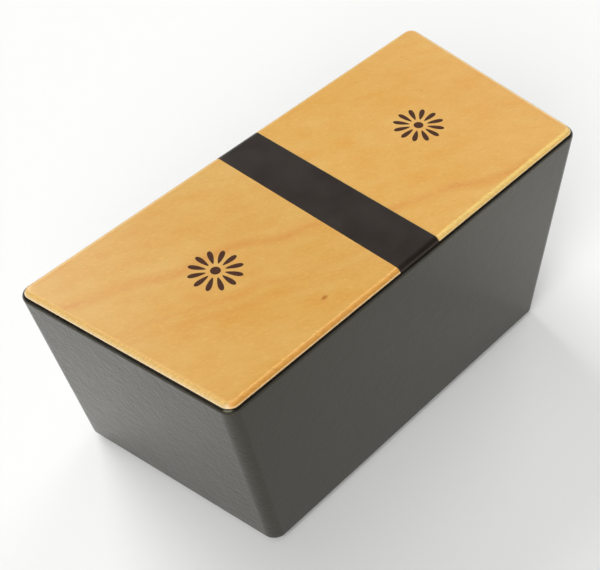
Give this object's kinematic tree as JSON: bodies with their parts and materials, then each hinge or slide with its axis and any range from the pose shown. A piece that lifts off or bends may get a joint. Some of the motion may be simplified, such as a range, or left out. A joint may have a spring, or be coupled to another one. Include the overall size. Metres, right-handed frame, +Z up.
{
  "type": "bongo cajon",
  "caption": "Tapered box drum with a satin black case, honey-coloured striking plates parted by a black band, separate air chambers and sound ports underneath.",
  "frame": {"origin": "on the floor under the middle of the drum, with the drum standing on its four feet", "axes": "+X along the length, from the low plate to the high plate; +Y from the short front wall to the long back wall; +Z up, towards the plates"},
  "size_m": [0.397, 0.178, 0.174],
  "materials": {
    "case_paint": "plywood under satin black paint with a fine pebbled grain",
    "plate_ply": "honey-coloured birch plywood under clear satin lacquer",
    "inner_ply": "raw sanded birch plywood",
    "bottom_paint": "thin plywood under matt black paint",
    "block_wood": "raw sawn pine",
    "foot_rubber": "matt moulded rubber",
    "screw_steel": "zinc-plated steel"
  },
  "bodies": {
    "root": {"front_wall": "case_paint", "back_wall": "case_paint", "left_end": "case_paint", "right_end": "case_paint", "low_plate": "plate_ply", "high_plate": "plate_ply", "bridge_cap": "case_paint", "cross_rail": "inner_ply", "divider": "inner_ply", "bottom_panel": "bottom_paint", "corner_block_front_left": "block_wood", "foot_front_left": "foot_rubber", "foot_screw_front_left": "screw_steel", "corner_block_front_right": "block_wood", "foot_front_right": "foot_rubber", "foot_screw_front_right": "screw_steel", "corner_block_back_right": "block_wood", "foot_back_right": "foot_rubber", "foot_screw_back_right": "screw_steel", "corner_block_back_left": "block_wood", "foot_back_left": "foot_rubber", "foot_screw_back_left": "screw_steel"}
  },
  "joints": []
}
